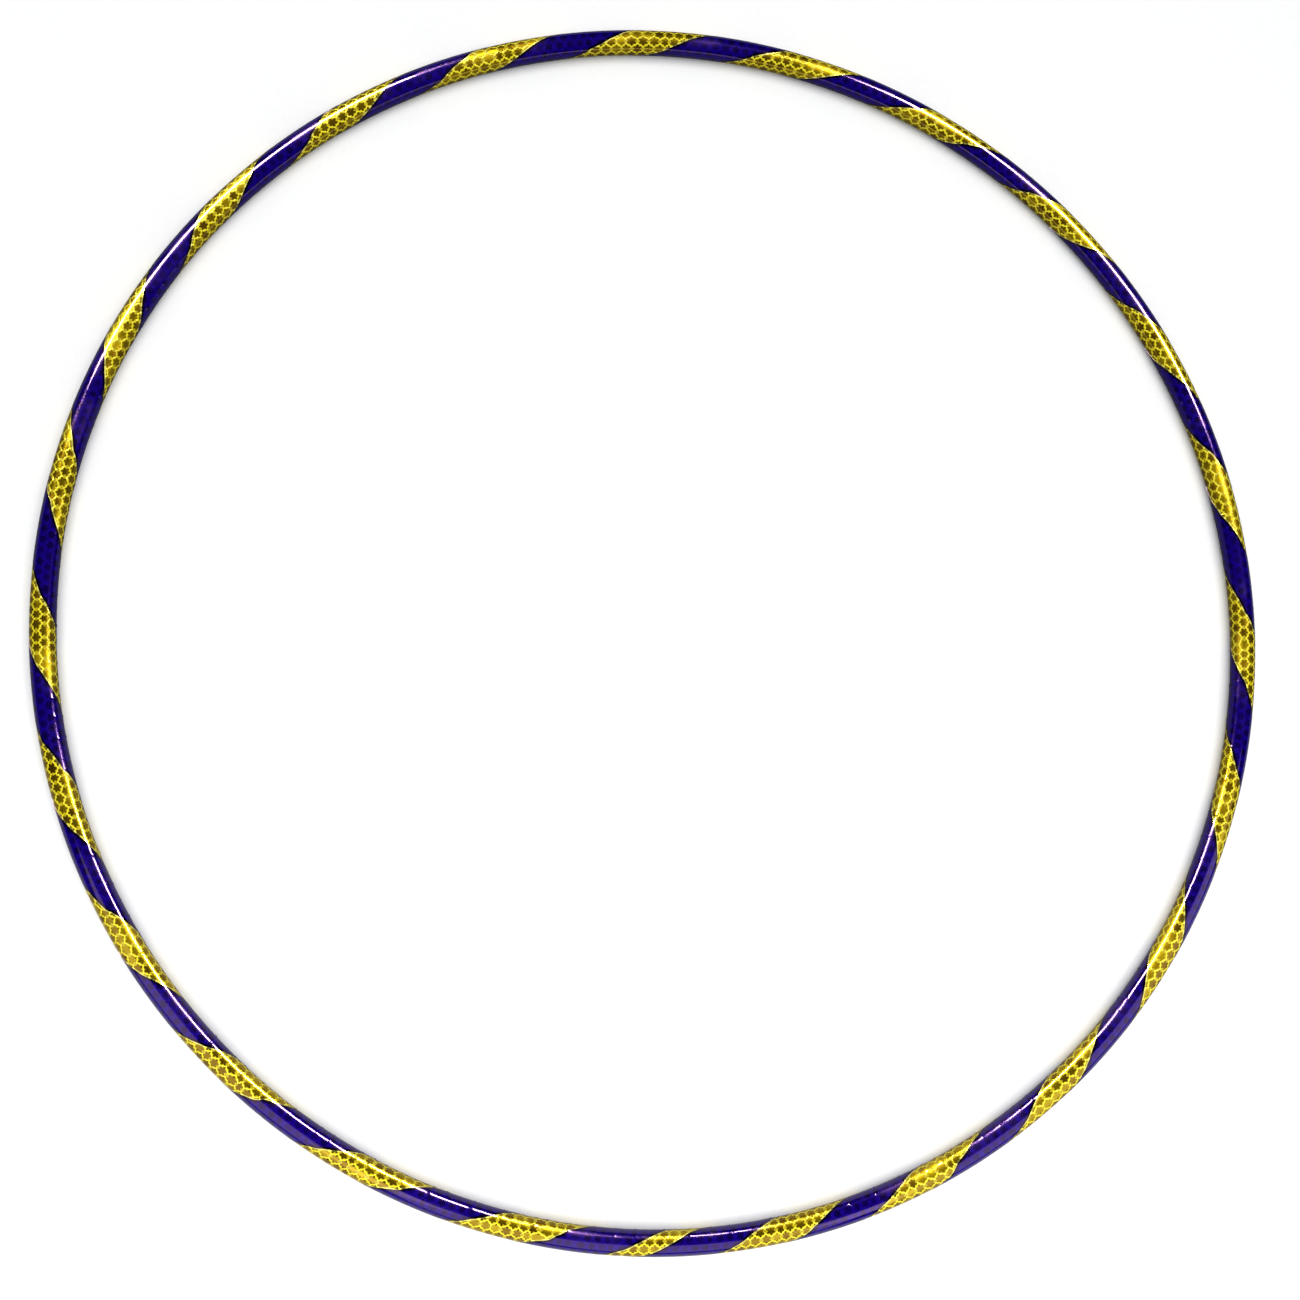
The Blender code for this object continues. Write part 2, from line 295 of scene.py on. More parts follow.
def crease_height(theta, psi):
    """How far the creases lift the film above the tube."""
    rise = np.zeros(len(theta))
    for at, height, width, _, middle, reach in creases:
        near = np.abs(theta - at) < RISES_WITHIN * width / HOOP_RADIUS
        across = (theta[near] - at) * HOOP_RADIUS / width
        along = np.clip(1 - ((psi[near] - middle) / reach) ** 2, 0, 1)
        rise[near] += height * np.exp(-across ** 2) * along ** CREASE_END_ROUNDING
    return rise


def wind(flat, radius, rise):
    """Points on the ring for flat (theta, psi) points at this radius plus each point's rise."""
    theta = flat[:, 0] + winding_lead(flat[:, 0]) - winding_lead(0.0)
    theta = theta + crease_lean(flat[:, 0], flat[:, 1])
    psi = flat[:, 1]
    reach = radius + rise
    from_axis = HOOP_RADIUS + reach * np.cos(psi)
    return np.stack([
        from_axis * np.sin(theta),
        -from_axis * np.cos(theta),
        TUBE_HEIGHT + reach * np.sin(psi),
    ], axis=1)


# %% [markdown]
# A wound mesh remembers two things for its finish: its place on the flat sheet in metres, as a UV
# map, and its distance from the nearest tape edge. Each tape takes only its own faces. Once it is
# wound, the sheet's two ends and its two long sides meet, and are welded.

# %% Make a wound mesh
WELD_DISTANCE = 0.00002


def wound_mesh(name, flat, faces, radius, rise):
    """A wound mesh that remembers its flat place in metres and its distance from the edges."""
    mesh = bpy.data.meshes.new(name)
    mesh.from_pydata(wind(flat, radius, rise).tolist(), [], faces)
    corner = np.concatenate(faces)
    rolled_out = flat[corner] * (HOOP_RADIUS, FINISHED_RADIUS)
    layer = mesh.uv_layers.new(name="rolled_out")
    layer.uv.foreach_set("vector", rolled_out.astype(np.float32).ravel())
    from_edge = np.abs(edge_distance(flat[:, 0], flat[:, 1]))
    attribute = mesh.attributes.new("from_edge", "FLOAT", "POINT")
    attribute.data.foreach_set("value", from_edge.astype(np.float32))
    mesh.shade_smooth()
    return mesh


def take_faces(chosen):
    """The chosen faces of the flat sheet, with only the points that they use."""
    faces = [face for face, keep in zip(flat_faces, chosen) if keep]
    used = np.unique(np.concatenate(faces))
    renumber = np.full(len(flat_points), -1)
    renumber[used] = np.arange(len(used))
    return flat_points[used], [renumber[face].tolist() for face in faces]


def close_ring(mesh):
    """Join the sheet's two ends and two long sides, which meet once it is wound."""
    bm = bmesh.new()
    bm.from_mesh(mesh)
    bmesh.ops.remove_doubles(bm, verts=bm.verts, dist=WELD_DISTANCE)
    bm.to_mesh(mesh)
    bm.free()


lead = (winding_lead(flat_points[:, 0]) - winding_lead(0.0)) * HOOP_RADIUS
print(f"the turns run from {1000 * lead.min():.1f} to {1000 * lead.max():.1f} mm ahead")

# %% [markdown]
# The gold tape covers the whole tube. Only its stripes between the violet turns can be seen, so
# only they are made, and each stops where the violet tape's edge comes down on it.

# %% Make the gold tape
BELOW_THE_VIOLET = 0.00012
GOLD_RADIUS = FINISHED_RADIUS - BELOW_THE_VIOLET


def add_piece(name, mesh, node):
    """A piece of the finished hoop, in the place of the model's own node."""
    piece = bpy.data.objects.new(name, mesh)
    bpy.context.scene.collection.objects.link(piece)
    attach(piece, "root")
    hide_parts(node)
    return piece


def make_gold_tape():
    flat, faces = take_faces(~on_violet)
    rise = crease_height(flat[:, 0], flat[:, 1])
    mesh = wound_mesh("gold_tape", flat, faces, GOLD_RADIUS, rise)
    close_ring(mesh)
    return add_piece("gold_tape", mesh, "base_tape")


gold_tape = make_gold_tape()
print("gold tape:", len(gold_tape.data.polygons), "faces")

# %% [markdown]
# The violet tape lies on the gold, so its cut edge is a tiny step. The step is real geometry: a
# narrow wall that goes down from the tape's border to just below the gold.

# %% Make the violet tape
VIOLET_RADIUS = FINISHED_RADIUS
STEP_DOWN = 0.00018
SHARP_ANGLE = math.radians(40)


def step_down_at_border(mesh):
    """Add a narrow flat-shaded wall from the border toward the middle of the tube."""
    bm = bmesh.new()
    bm.from_mesh(mesh)
    border = [edge for edge in bm.edges if edge.is_boundary]
    wall = bmesh.ops.extrude_edge_only(bm, edges=border)
    for item in wall["geom"]:
        if isinstance(item, bmesh.types.BMVert):
            ground = Vector((item.co.x, item.co.y, 0)).normalized() * HOOP_RADIUS
            middle = Vector((ground.x, ground.y, TUBE_HEIGHT))
            item.co -= (item.co - middle).normalized() * STEP_DOWN
    for item in wall["geom"]:
        if isinstance(item, bmesh.types.BMFace):
            item.smooth = False
    bm.normal_update()
    bm.to_mesh(mesh)
    bm.free()


def make_violet_tape():
    flat, faces = take_faces(on_violet)
    rise = crease_height(flat[:, 0], flat[:, 1])
    mesh = wound_mesh("violet_tape", flat, faces, VIOLET_RADIUS, rise)
    close_ring(mesh)
    step_down_at_border(mesh)
    mesh.set_sharp_from_angle(angle=SHARP_ANGLE)
    return add_piece("violet_tape", mesh, "top_tape")


violet_tape = make_violet_tape()
print("violet tape:", len(violet_tape.data.polygons), "faces")

# %% [markdown]
# ## Finishes
# Both tapes are printed films with the same pattern of small stars, bright on the gold and
# nearly hidden in the violet. The pattern is a shader group, so that both use it with values of
# their own. It works in metres on the rolled-out surface: the stars stand in staggered rows,
# which is the same as two square grids of stars with one shifted by half a step.

# %% Helpers for shader groups
class Nodes:
    """Short ways to add and join nodes in one tree."""

    def __init__(self, tree):
        self.tree = tree

    def add(self, kind, **settings):
        node = self.tree.nodes.new(kind)
        for name, value in settings.items():
            setattr(node, name, value)
        return node

    def link(self, source, target):
        self.tree.links.new(source, target)

    def put(self, value, socket):
        if isinstance(value, bpy.types.NodeSocket):
            self.link(value, socket)
        else:
            socket.default_value = value

    def math(self, operation, *values):
        node = self.add("ShaderNodeMath", operation=operation)
        for value, socket in zip(values, node.inputs):
            self.put(value, socket)
        return node.outputs[0]

    def vector(self, operation, *values):
        node = self.add("ShaderNodeVectorMath", operation=operation)
        for value, socket in zip(values, node.inputs):
            self.put(value, socket)
        return node.outputs["Value" if operation == "LENGTH" else "Vector"]

    def smooth(self, value, low, high, to_low=0.0, to_high=1.0):
        node = self.add("ShaderNodeMapRange", interpolation_type="SMOOTHSTEP")
        for item, socket in zip((value, low, high, to_low, to_high), node.inputs):
            self.put(item, socket)
        return node.outputs["Result"]

    def mix(self, factor, first, second):
        node = self.add("ShaderNodeMix", data_type="RGBA")
        self.put(factor, node.inputs["Factor"])
        self.put(first, node.inputs["A"])
        self.put(second, node.inputs["B"])
        return node.outputs["Result"]


def new_group(name, inputs, outputs):
    """A shader group with named sockets; inputs are (name, kind, default)."""
    group = bpy.data.node_groups.new(name, "ShaderNodeTree")
    for label, kind, default in inputs:
        socket = group.interface.new_socket(label, in_out="INPUT", socket_type=kind)
        if default is not None:
            socket.default_value = default
    for label, kind in outputs:
        group.interface.new_socket(label, in_out="OUTPUT", socket_type=kind)
    nodes = Nodes(group)
    return nodes, nodes.add("NodeGroupInput").outputs, nodes.add("NodeGroupOutput").inputs


print("helpers ready")

# %% [markdown]
# Each place on the film looks for its nearest star in both grids and keeps the closer one. A
# wave round the star's middle gives it points. The line halfway between two stars is the same
# distance from both, so the difference of the two distances draws the ribs.

# %% Build the star pattern group
STAR_POINTS = 6.0
GRID_B_LABEL = (37.0, 11.0)
RIB_FULL_UNTIL = 0.4


def build_star_pattern():
    """Star is the mask, Rib the lines between the stars, and Shade one value for each star."""
    nodes, given, result = new_group(
        "star_pattern",
        [("Surface", "NodeSocketVector", None), ("Step Along", "NodeSocketFloat", 0.0072),
         ("Step Around", "NodeSocketFloat", 0.0107), ("Star Radius", "NodeSocketFloat", 0.0024),
         ("Point Depth", "NodeSocketFloat", 0.24), ("Softness", "NodeSocketFloat", 0.0006),
         ("Line Width", "NodeSocketFloat", 0.0012)],
        [("Star", "NodeSocketFloat"), ("Rib", "NodeSocketFloat"), ("Shade", "NodeSocketFloat")],
    )
    step = nodes.add("ShaderNodeCombineXYZ")
    nodes.link(given["Step Along"], step.inputs["X"])
    nodes.link(given["Step Around"], step.inputs["Y"])
    step.inputs["Z"].default_value = 1.0
    scaled = nodes.vector("DIVIDE", given["Surface"], step.outputs["Vector"])

    def nearest_star(shift):
        moved = nodes.vector("ADD", scaled, (shift, shift, 0.0))
        whole = nodes.vector("FLOOR", moved)
        inside = nodes.vector("SUBTRACT", moved, nodes.vector("ADD", whole, (0.5, 0.5, 0.0)))
        offset = nodes.vector("MULTIPLY", inside, step.outputs["Vector"])
        flat = nodes.vector("MULTIPLY", offset, (1.0, 1.0, 0.0))
        own_label = (shift * GRID_B_LABEL[0], shift * GRID_B_LABEL[1], 0.0)
        label = nodes.vector("ADD", whole, own_label)
        return flat, nodes.vector("LENGTH", flat), label

    offset_a, distance_a, label_a = nearest_star(0.0)
    offset_b, distance_b, label_b = nearest_star(0.5)
    b_nearer = nodes.math("LESS_THAN", distance_b, distance_a)
    offset = nodes.mix(b_nearer, offset_a, offset_b)
    distance = nodes.math("MINIMUM", distance_a, distance_b)
    parts = nodes.add("ShaderNodeSeparateXYZ")
    nodes.link(offset, parts.inputs[0])
    turn = nodes.math("ARCTAN2", parts.outputs["X"], parts.outputs["Y"])
    points = nodes.math("COSINE", nodes.math("MULTIPLY", turn, STAR_POINTS))
    wave = nodes.math("MULTIPLY", points, given["Point Depth"])
    radius = nodes.math("MULTIPLY", given["Star Radius"], nodes.math("ADD", wave, 1.0))
    past = nodes.math("SUBTRACT", radius, distance)
    outside = nodes.math("MULTIPLY", given["Softness"], -1.0)
    nodes.link(nodes.smooth(past, outside, given["Softness"]), result["Star"])
    between = nodes.math("ABSOLUTE", nodes.math("SUBTRACT", distance_a, distance_b))
    full_until = nodes.math("MULTIPLY", given["Line Width"], RIB_FULL_UNTIL)
    rib = nodes.smooth(between, full_until, given["Line Width"], 1.0, 0.0)
    nodes.link(rib, result["Rib"])
    noise = nodes.add("ShaderNodeTexWhiteNoise", noise_dimensions="2D")
    nodes.link(nodes.mix(b_nearer, label_a, label_b), noise.inputs["Vector"])
    nodes.link(noise.outputs["Value"], result["Shade"])
    return nodes.tree


star_pattern = build_star_pattern()
print("star pattern:", len(star_pattern.nodes), "nodes")

# %% [markdown]
# Handled tape is never perfectly smooth. Long shallow waves in the film make a reflection
# wander, fine grain blurs it a little and makes foil glitter, finger marks dull it in patches,
# and its colour clouds slightly. One group gives all of these, for both tapes.

# %% Build the handled film group
WAVE_STRETCH = (0.5, 1.0, 1.0)
GRAIN_HEIGHT = 0.06
GRAIN_RANGE = (0.35, 0.65)
SMUDGE_RANGE = (0.42, 0.68)
SMUDGE_TO_WAVE = 2.5
CLOUD_TO_WAVE = 0.35


def build_handled_film():
    """Height is for a bump; Smudge, Cloud and Grain are values from 0 to 1."""
    nodes, given, result = new_group(
        "handled_film",
        [("Surface", "NodeSocketVector", None), ("Wave Length", "NodeSocketFloat", 0.012),
         ("Grain Size", "NodeSocketFloat", 0.0008)],
        [("Height", "NodeSocketFloat"), ("Smudge", "NodeSocketFloat"),
         ("Cloud", "NodeSocketFloat"), ("Grain", "NodeSocketFloat")],
    )

    def noise(size, detail, stretch=(1.0, 1.0, 1.0)):
        texture = nodes.add("ShaderNodeTexNoise", noise_dimensions="2D")
        texture.inputs["Detail"].default_value = detail
        nodes.link(nodes.vector("MULTIPLY", given["Surface"], stretch), texture.inputs["Vector"])
        nodes.link(nodes.math("DIVIDE", 1.0, size), texture.inputs["Scale"])
        return texture.outputs["Fac"]

    waves = noise(given["Wave Length"], 2.0, WAVE_STRETCH)
    grain = noise(given["Grain Size"], 3.0)
    nodes.link(nodes.smooth(grain, *GRAIN_RANGE), result["Grain"])
    height = nodes.math("ADD", waves, nodes.math("MULTIPLY", grain, GRAIN_HEIGHT))
    nodes.link(height, result["Height"])
    smudge_size = nodes.math("MULTIPLY", given["Wave Length"], SMUDGE_TO_WAVE)
    nodes.link(nodes.smooth(noise(smudge_size, 5.0), *SMUDGE_RANGE), result["Smudge"])
    cloud_size = nodes.math("MULTIPLY", given["Wave Length"], CLOUD_TO_WAVE)
    nodes.link(noise(cloud_size, 3.0), result["Cloud"])
    return nodes.tree


handled_film = build_handled_film()
print("handled film:", len(handled_film.nodes), "nodes")

# %% [markdown]
# A cut tape edge is painted as a thin line: a painted shadow beside the violet, and a painted
# highlight on the gold where the film bends over the step. The distance from the edge is already
# stored on the mesh, so the line is the same width everywhere.

# %% Build the painted edge shadow and highlight group
# painted shade and light: the Line mask places a painted shadow on the violet and a painted
# highlight on the gold
def build_edge_shadow_and_highlight():
    nodes, given, result = new_group(
        "edge_shadow_and_highlight",
        [("Width", "NodeSocketFloat", 0.0005)],
        [("Line", "NodeSocketFloat")],
    )
    from_edge = nodes.add("ShaderNodeAttribute", attribute_name="from_edge").outputs["Fac"]
    full_until = nodes.math("MULTIPLY", given["Width"], 0.5)
    nodes.link(nodes.smooth(from_edge, full_until, given["Width"], 1.0, 0.0), result["Line"])
    return nodes.tree


edge_shadow_and_highlight = build_edge_shadow_and_highlight()
print("tape edge:", len(edge_shadow_and_highlight.nodes), "nodes")

# %% [markdown]
# Each finish starts the same way: one Principled shader, the rolled-out coordinates, and the
# groups placed with this film's values. A whole number of stars goes round the tube and along
# the hoop, so the pattern meets itself everywhere. The edge width is along the tube, like the
# stored distance: the line itself is a little less than half as wide.

# %% Start a film finish
STAR_SPACING = 0.0072
STARS_AROUND = 5
STARS_ALONG = round(HOOP_LENGTH / STAR_SPACING)
STAR_STEP_ALONG = HOOP_LENGTH / STARS_ALONG
STAR_STEP_AROUND = TUBE_GIRTH / STARS_AROUND


def start_material(name):
    material = bpy.data.materials.new(name)
    material.use_nodes = True
    nodes = Nodes(material.node_tree)
    return material, nodes, material.node_tree.nodes["Principled BSDF"]


def place_group(nodes, group, **values):
    """A group's outputs; step_along=0.01 sets the input called Step Along, and so on."""
    node = nodes.add("ShaderNodeGroup", node_tree=group)
    for label, value in values.items():
        nodes.put(value, node.inputs[label.replace("_", " ").title()])
    return node.outputs


def film_layers(nodes, star_radius, softness, wave_length, edge_width):
    """The three groups that both tapes use: stars, film and edge."""
    surface = nodes.add("ShaderNodeUVMap", uv_map="rolled_out").outputs["UV"]
    stars = place_group(nodes, star_pattern, surface=surface, step_along=STAR_STEP_ALONG,
                        step_around=STAR_STEP_AROUND, star_radius=star_radius,
                        softness=softness)
    film = place_group(nodes, handled_film, surface=surface, wave_length=wave_length)
    edge = place_group(nodes, edge_shadow_and_highlight, width=edge_width)
    return stars, film, edge


def add_bump(nodes, shader, height, distance):
    bump = nodes.add("ShaderNodeBump")
    bump.inputs["Distance"].default_value = distance
    nodes.link(height, bump.inputs["Height"])
    nodes.link(bump.outputs["Normal"], shader.inputs["Normal"])


def set_values(shader, **values):
    """Set plain values by name; coat_weight=0.4 sets the input called Coat Weight."""
    for label, value in values.items():
        shader.inputs[label.replace("_", " ").title().replace("Ior", "IOR")].default_value = value


print(STARS_ALONG, "stars along the hoop and", STARS_AROUND, "round it, twice over")

# %% [markdown]
# The gold film is bright yellow foil. The lines between its stars scatter light and are yellow
# from everywhere. The stars themselves are nearly mirrors: they look dark and olive where they
# face a dark room, and turn amber where they face a light. So the star mask drives Metallic, and
# not only the colour. Fine grain between the stars is painted glitter: bright specks of foil glint
# painted into the colour, over a faint random cloud that is the film's own tone.

# %% Finish the gold film
# the field runs from dull to painted glint: the foil's glitter painted into the colour, with the
# film's own random cloud
GOLD_FIELD_DULL_AND_DARK_CLOUD = (0.16, 0.10, 0.001, 1)
GOLD_FIELD_GLINT_AND_PALE_CLOUD = (0.74, 0.60, 0.004, 1)
GOLD_RIB = (0.97, 0.85, 0.03, 1)
GOLD_STAR_DARK = (0.22, 0.12, 0.001, 1)
GOLD_STAR_LIGHT = (0.50, 0.34, 0.003, 1)
# painted highlight: the bright rim on the gold where it meets the violet tape's edge
GOLD_PAINTED_EDGE_HIGHLIGHT = (0.95, 0.9, 0.2, 1)


def share(nodes, value, amount, start=None):
    """An amount of a value between 0 and 1, on top of a start value where one is given."""
    part = nodes.math("MULTIPLY", value, amount)
    return part if start is None else nodes.math("ADD", start, part)


def gold_colour(nodes, stars, film, edge):
    # painted glint: the grain's share paints the foil's glitter as bright specks; the cloud's
    # share is the film's own uneven tone
    tone = nodes.math("ADD", share(nodes, film["Grain"], 0.65), share(nodes, film["Cloud"], 0.35))
    field = nodes.mix(tone, GOLD_FIELD_DULL_AND_DARK_CLOUD, GOLD_FIELD_GLINT_AND_PALE_CLOUD)
    ribbed = nodes.mix(share(nodes, stars["Rib"], 0.75), field, GOLD_RIB)
    star_colour = nodes.mix(stars["Shade"], GOLD_STAR_DARK, GOLD_STAR_LIGHT)
    printed = nodes.mix(stars["Star"], ribbed, star_colour)
    # painted highlight: a bright rim on the gold along the violet tape's edge
    return nodes.mix(share(nodes, edge["Line"], 0.7), printed, GOLD_PAINTED_EDGE_HIGHLIGHT)


def gold_finish():
    material, nodes, shader = start_material("gold_star_film")
    stars, film, edge = film_layers(
        nodes, star_radius=0.0026, softness=0.00022, wave_length=0.011, edge_width=0.0022)
    nodes.link(gold_colour(nodes, stars, film, edge), shader.inputs["Base Color"])
    nodes.link(share(nodes, stars["Star"], 0.76, start=0.12), shader.inputs["Metallic"])
    nodes.link(share(nodes, film["Smudge"], 0.14, start=0.22), shader.inputs["Roughness"])
    set_values(shader, specular_ior_level=0.3, coat_weight=0.4, coat_roughness=0.06)
    height = nodes.math("ADD", film["Height"], share(nodes, stars["Rib"], 0.5))
    add_bump(nodes, shader, height, distance=0.00016)
    return material


gold_tape.data.materials.append(gold_finish())
print("gold finish:", len(gold_tape.active_material.node_tree.nodes), "nodes")

# %% [markdown]
# The violet film is the same foil under a deep indigo layer. Its stars only show as darker
# patches. A tinted reflection from the foil lies under a sharp one from the clear surface, so a
# wide dim light shows lilac and a small bright one shows white.

# %% Finish the violet film
VIOLET_DEEP = (0.0020, 0.0, 0.074, 1)
VIOLET_BRIGHT = (0.0066, 0.0, 0.22, 1)
VIOLET_STAR_DARK = (0.0004, 0.0, 0.010, 1)
VIOLET_STAR_LIGHT = (0.0025, 0.0, 0.055, 1)
# painted shadow: the dark line along the violet tape's cut edge
VIOLET_PAINTED_EDGE_SHADOW = (0.001, 0.0, 0.004, 1)
LILAC_REFLECTION = (0.80, 0.38, 1.0, 1.0)


def violet_finish():
    material, nodes, shader = start_material("violet_star_film")
    stars, film, edge = film_layers(
        nodes, star_radius=0.0024, softness=0.0006, wave_length=0.014, edge_width=0.0048)
    field = nodes.mix(film["Cloud"], VIOLET_DEEP, VIOLET_BRIGHT)
    patch = nodes.mix(stars["Shade"], VIOLET_STAR_DARK, VIOLET_STAR_LIGHT)
    dimmed = nodes.mix(share(nodes, stars["Star"], 0.8), field, patch)
    # painted shadow: a dark line along the violet tape's cut edge
    nodes.link(nodes.mix(edge["Line"], dimmed, VIOLET_PAINTED_EDGE_SHADOW), shader.inputs["Base Color"])
    nodes.link(share(nodes, film["Smudge"], 0.12, start=0.12), shader.inputs["Roughness"])
    set_values(shader, specular_ior_level=0.65, specular_tint=LILAC_REFLECTION,
               coat_weight=0.4, coat_roughness=0.03)
    add_bump(nodes, shader, film["Height"], distance=0.00010)
    return material


violet_tape.data.materials.append(violet_finish())
print("violet finish:", len(violet_tape.active_material.node_tree.nodes), "nodes")

# %% [markdown]
# ## The hidden pieces
# The tube, its connector and the rivets keep the model's own shapes. They can only be seen when
# the tapes are hidden, but each still gets the finish that it would have: extruded plastic with
# faint lines along it, and drawn metal with fine scratches.

# %% Build the drawn surface group
LINE_STRETCH = (0.25, 0.25, 2.0)


def build_drawn_surface():
    """Tone stays near 0.5 and mixes two colours; Height is for a bump."""
    nodes, given, result = new_group(
        "drawn_surface",
        [("Scale", "NodeSocketFloat", 900.0), ("Contrast", "NodeSocketFloat", 0.2)],
        [("Tone", "NodeSocketFloat"), ("Height", "NodeSocketFloat")],
    )
    place = nodes.add("ShaderNodeTexCoord").outputs["Object"]
    lines = nodes.add("ShaderNodeTexNoise")
    lines.inputs["Detail"].default_value = 4.0
    nodes.link(nodes.vector("MULTIPLY", place, LINE_STRETCH), lines.inputs["Vector"])
    nodes.link(given["Scale"], lines.inputs["Scale"])
    uneven = nodes.math("SUBTRACT", lines.outputs["Fac"], 0.5)
    tone = nodes.math("MULTIPLY", uneven, given["Contrast"])
    nodes.link(nodes.math("ADD", tone, 0.5), result["Tone"])
    nodes.link(lines.outputs["Fac"], result["Height"])
    return nodes.tree


drawn_surface = build_drawn_surface()
print("drawn surface:", len(drawn_surface.nodes), "nodes")

# %% [markdown]
# Plastic and metal use the group alike. Only the two colours, the roughness, the fineness of the
# lines and whether it is a metal differ.

# %% Finish the hidden pieces
def drawn_finish(name, dark, light, roughness, metallic, scale):
    material, nodes, shader = start_material(name)
    drawn = place_group(nodes, drawn_surface, scale=scale, contrast=0.8)
    nodes.link(nodes.mix(drawn["Tone"], dark, light), shader.inputs["Base Color"])
    nodes.link(share(nodes, drawn["Height"], 0.1, start=roughness), shader.inputs["Roughness"])
    set_values(shader, metallic=metallic)
    add_bump(nodes, shader, drawn["Height"], distance=0.00005)
    return material


def refinish(node, material):
    """Give one of the model's own pieces a material in place of the one it came with."""
    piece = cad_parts[node]
    piece.data.materials.clear()
    piece.data.materials.append(material)


tube_finish = drawn_finish(
    "pale_tube_plastic", dark=(0.60, 0.61, 0.58, 1), light=(0.78, 0.79, 0.75, 1),
    roughness=0.35, metallic=0.0, scale=300.0)
sleeve_finish = drawn_finish(
    "black_sleeve_plastic", dark=(0.012, 0.012, 0.014, 1), light=(0.035, 0.035, 0.04, 1),
    roughness=0.4, metallic=0.0, scale=400.0)
rivet_finish = drawn_finish(
    "rivet_aluminium", dark=(0.45, 0.46, 0.48, 1), light=(0.72, 0.73, 0.75, 1),
    roughness=0.28, metallic=1.0, scale=1500.0)
pin_finish = drawn_finish(
    "mandrel_steel", dark=(0.22, 0.22, 0.23, 1), light=(0.40, 0.40, 0.42, 1),
    roughness=0.32, metallic=1.0, scale=1800.0)
refinish("hoop_tube", tube_finish)
refinish("join_connector", sleeve_finish)
for side in ("left", "right"):
    refinish("rivet_" + side, rivet_finish)
    refinish("rivet_mandrel_" + side, pin_finish)
print("finished the tube, the connector, two rivets and two mandrels")

# %% [markdown]
# ## The studio
# The hoop lies on a plain pale floor: one large sheet with a slight paper grain. A photographer
# lights such a floor from behind to make it bright without filling the glossy object with white
# reflections. Light Path does the same here: the floor is pale to look at and dim in reflections,
# and a little less dim on the near side. Looked at from below, the sheet is see-through, so that
# the hoop's underside can be seen.

# %% Lay the floor
FLOOR_SIZE = 8.0
FLOOR_GAP = 0.0002
FLOOR_SQUARES = 8
PAPER_DARK = (0.82, 0.82, 0.82, 1)
PAPER_LIGHT = (0.86, 0.86, 0.85, 1)
MIRRORED_FAR = (0.12, 0.12, 0.12, 1)
# painted light: the floor's colour in reflections is lighter on its near side
MIRRORED_NEAR_PAINTED_LIGHT = (0.32, 0.31, 0.33, 1)
NEAR_SIDE_FROM = 0.0
NEAR_SIDE_TO = -0.25


def floor_finish():
    material, nodes, shader = start_material("pale_floor")
    place = nodes.add("ShaderNodeTexCoord").outputs["Object"]
    grain = nodes.add("ShaderNodeTexNoise")
    grain.inputs["Scale"].default_value = 220.0
    grain.inputs["Detail"].default_value = 3.0
    nodes.link(place, grain.inputs["Vector"])
    seen = nodes.mix(grain.outputs["Fac"], PAPER_DARK, PAPER_LIGHT)
    directly = nodes.add("ShaderNodeLightPath").outputs["Is Camera Ray"]
    underneath = nodes.add("ShaderNodeNewGeometry").outputs["Backfacing"]
    see_through = nodes.math("MULTIPLY", underneath, directly)
    nodes.link(nodes.math("SUBTRACT", 1.0, see_through), shader.inputs["Alpha"])
    parts = nodes.add("ShaderNodeSeparateXYZ")
    nodes.link(place, parts.inputs[0])
    # painted light: seen in reflections, the floor is painted lighter on its near side
    near = nodes.smooth(parts.outputs["Y"], NEAR_SIDE_FROM, NEAR_SIDE_TO)
    mirrored = nodes.mix(near, MIRRORED_FAR, MIRRORED_NEAR_PAINTED_LIGHT)
    nodes.link(nodes.mix(directly, mirrored, seen), shader.inputs["Base Color"])
    set_values(shader, roughness=0.9, specular_ior_level=0.1)
    return material


def lay_floor():
    bm = bmesh.new()
    bmesh.ops.create_grid(bm, x_segments=FLOOR_SQUARES, y_segments=FLOOR_SQUARES,
                              size=FLOOR_SIZE / 2)
    mesh = bpy.data.meshes.new("floor")
    bm.to_mesh(mesh)
    bm.free()
    floor = bpy.data.objects.new("floor", mesh)
    floor.location.z = low.z - FLOOR_GAP
    bpy.context.scene.collection.objects.link(floor)
    mesh.materials.append(floor_finish())


lay_floor()
print(f"floor {FLOOR_SIZE:.0f} m across")

# %% [markdown]
# Two long soft lights hang side by side beyond the far part of the hoop. On a round glossy tube
# each one shows as a thin bright line, and the gap between them and their short length leave
# the tube dark at the very top and at both sides. A short strip just inside the near side adds
# one more piece of line there. These are only seen in reflections. The brightness of the film
# and of the floor comes from a big light high overhead, which is kept out of reflections, so
# that the film stays deep.

# %% Hang the lights
def hang_light(name, place, aim, width, depth, watts, reflected=True, lighting=True):
    light = bpy.data.lights.new(name, "AREA")
    light.shape = "RECTANGLE"
    light.size = width
    light.size_y = depth
    light.energy = watts
    lamp = bpy.data.objects.new(name, light)
    lamp.location = place
    direction = Vector(aim) - Vector(place)
    lamp.rotation_euler = direction.to_track_quat("-Z", "Y").to_euler()
    lamp.visible_camera = False
    lamp.visible_glossy = reflected
    lamp.visible_diffuse = lighting
    bpy.context.scene.collection.objects.link(lamp)


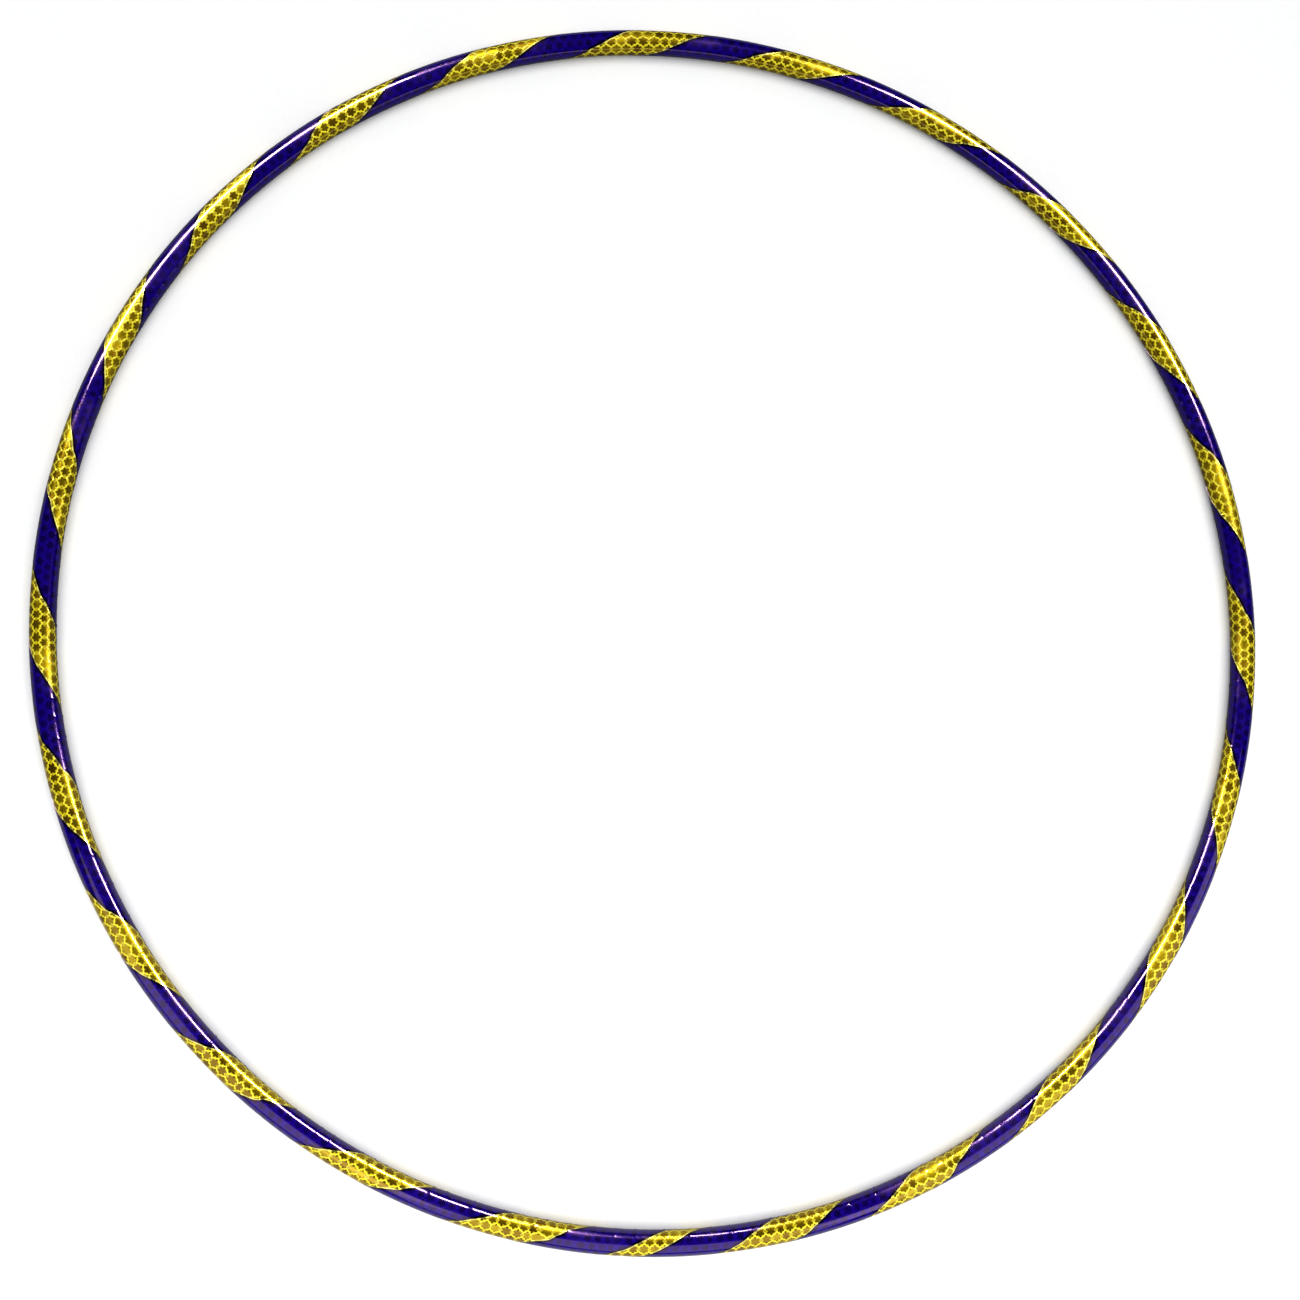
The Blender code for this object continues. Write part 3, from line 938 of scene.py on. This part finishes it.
hang_light("softbox_left", place=(-0.75, 0.93, 0.85), aim=(-0.1, 0.0, 0.0),
           width=0.92, depth=0.27, watts=50, lighting=False)
hang_light("softbox_right", place=(0.62, 0.66, 0.85), aim=(0.1, 0.0, 0.0),
           width=0.62, depth=0.23, watts=32, lighting=False)
hang_light("short_strip", place=(0.06, -0.20, 0.126), aim=(0.05, -0.41, 0.0),
           width=0.03, depth=0.02, watts=0.11, lighting=False)
hang_light("overhead", place=(0.0, 0.0, 3.0), aim=(0.0, 0.0, 0.0),
           width=3.4, depth=3.4, watts=108, reflected=False)
print("four lights")

# %% [markdown]
# Three dim cards hang low round the outside of the near side. Their reflection is the broad soft
# band on the outer side of the tube. Each one faces down and leans a little toward the hoop, and
# its power goes with its length, so that all three are equally bright.

# %% Hang the cards
CARD_FROM_CENTRE = 0.66
CARD_HEIGHT = 0.17
CARD_LEAN = 0.25
CARD_DEPTH = 0.42
CARD_WATTS_PER_METRE = 1.6
CARDS = (("middle", 0, 0.60), ("left", -42, 0.46), ("right", 50, 0.62))
for name, degrees_round, length in CARDS:
    around = math.radians(degrees_round)
    outward = Vector((math.sin(around), -math.cos(around), 0.0))
    place = outward * CARD_FROM_CENTRE + Vector((0.0, 0.0, CARD_HEIGHT))
    aim = place - outward * CARD_LEAN - Vector((0.0, 0.0, 1.0))
    hang_light("card_" + name, place, aim, width=length, depth=CARD_DEPTH,
               watts=CARD_WATTS_PER_METRE * length)
print(len(CARDS), "cards")

# %% [markdown]
# The room itself is dim, and it is kept out of reflections too. Where it can be seen past the
# edge of the floor it is a paler grey.

# %% Dim the room
COOL_WHITE = (0.95, 0.97, 1.0, 1.0)


def dim_room(strength, backdrop):
    world = bpy.data.worlds.new("studio")
    world.use_nodes = True
    background = world.node_tree.nodes["Background"]
    background.inputs["Color"].default_value = COOL_WHITE
    nodes = Nodes(world.node_tree)
    directly = nodes.add("ShaderNodeLightPath").outputs["Is Camera Ray"]
    shown = nodes.add("ShaderNodeMapRange")
    nodes.link(directly, shown.inputs["Value"])
    shown.inputs["To Min"].default_value = strength
    shown.inputs["To Max"].default_value = backdrop
    nodes.link(shown.outputs["Result"], background.inputs["Strength"])
    world.cycles_visibility.glossy = False
    bpy.context.scene.world = world


dim_room(strength=0.35, backdrop=0.62)
bpy.context.scene.view_settings.view_transform = "Standard"
print("room dimmed")

# %% [markdown]
# ## The camera
# The hoop is seen from a standing person's height, almost straight down and a little from the
# near side, so the near part of the tube looks thicker than the far part.

# %% Set up the camera
CAMERA_PLACE = (-0.1723, -0.1829, 1.188)
CAMERA_TILT = tuple(math.radians(angle) for angle in (7.43, -7.90, 1.67))
FIELD_OF_VIEW = math.radians(40.0)


def set_camera():
    camera_data = bpy.data.cameras.new("camera")
    camera_data.sensor_fit = "HORIZONTAL"
    camera_data.angle = FIELD_OF_VIEW
    camera = bpy.data.objects.new("camera", camera_data)
    camera.location = CAMERA_PLACE
    camera.rotation_euler = CAMERA_TILT
    bpy.context.scene.collection.objects.link(camera)
    bpy.context.scene.camera = camera


set_camera()
print(f"camera {CAMERA_PLACE[2]:.2f} m above the floor")
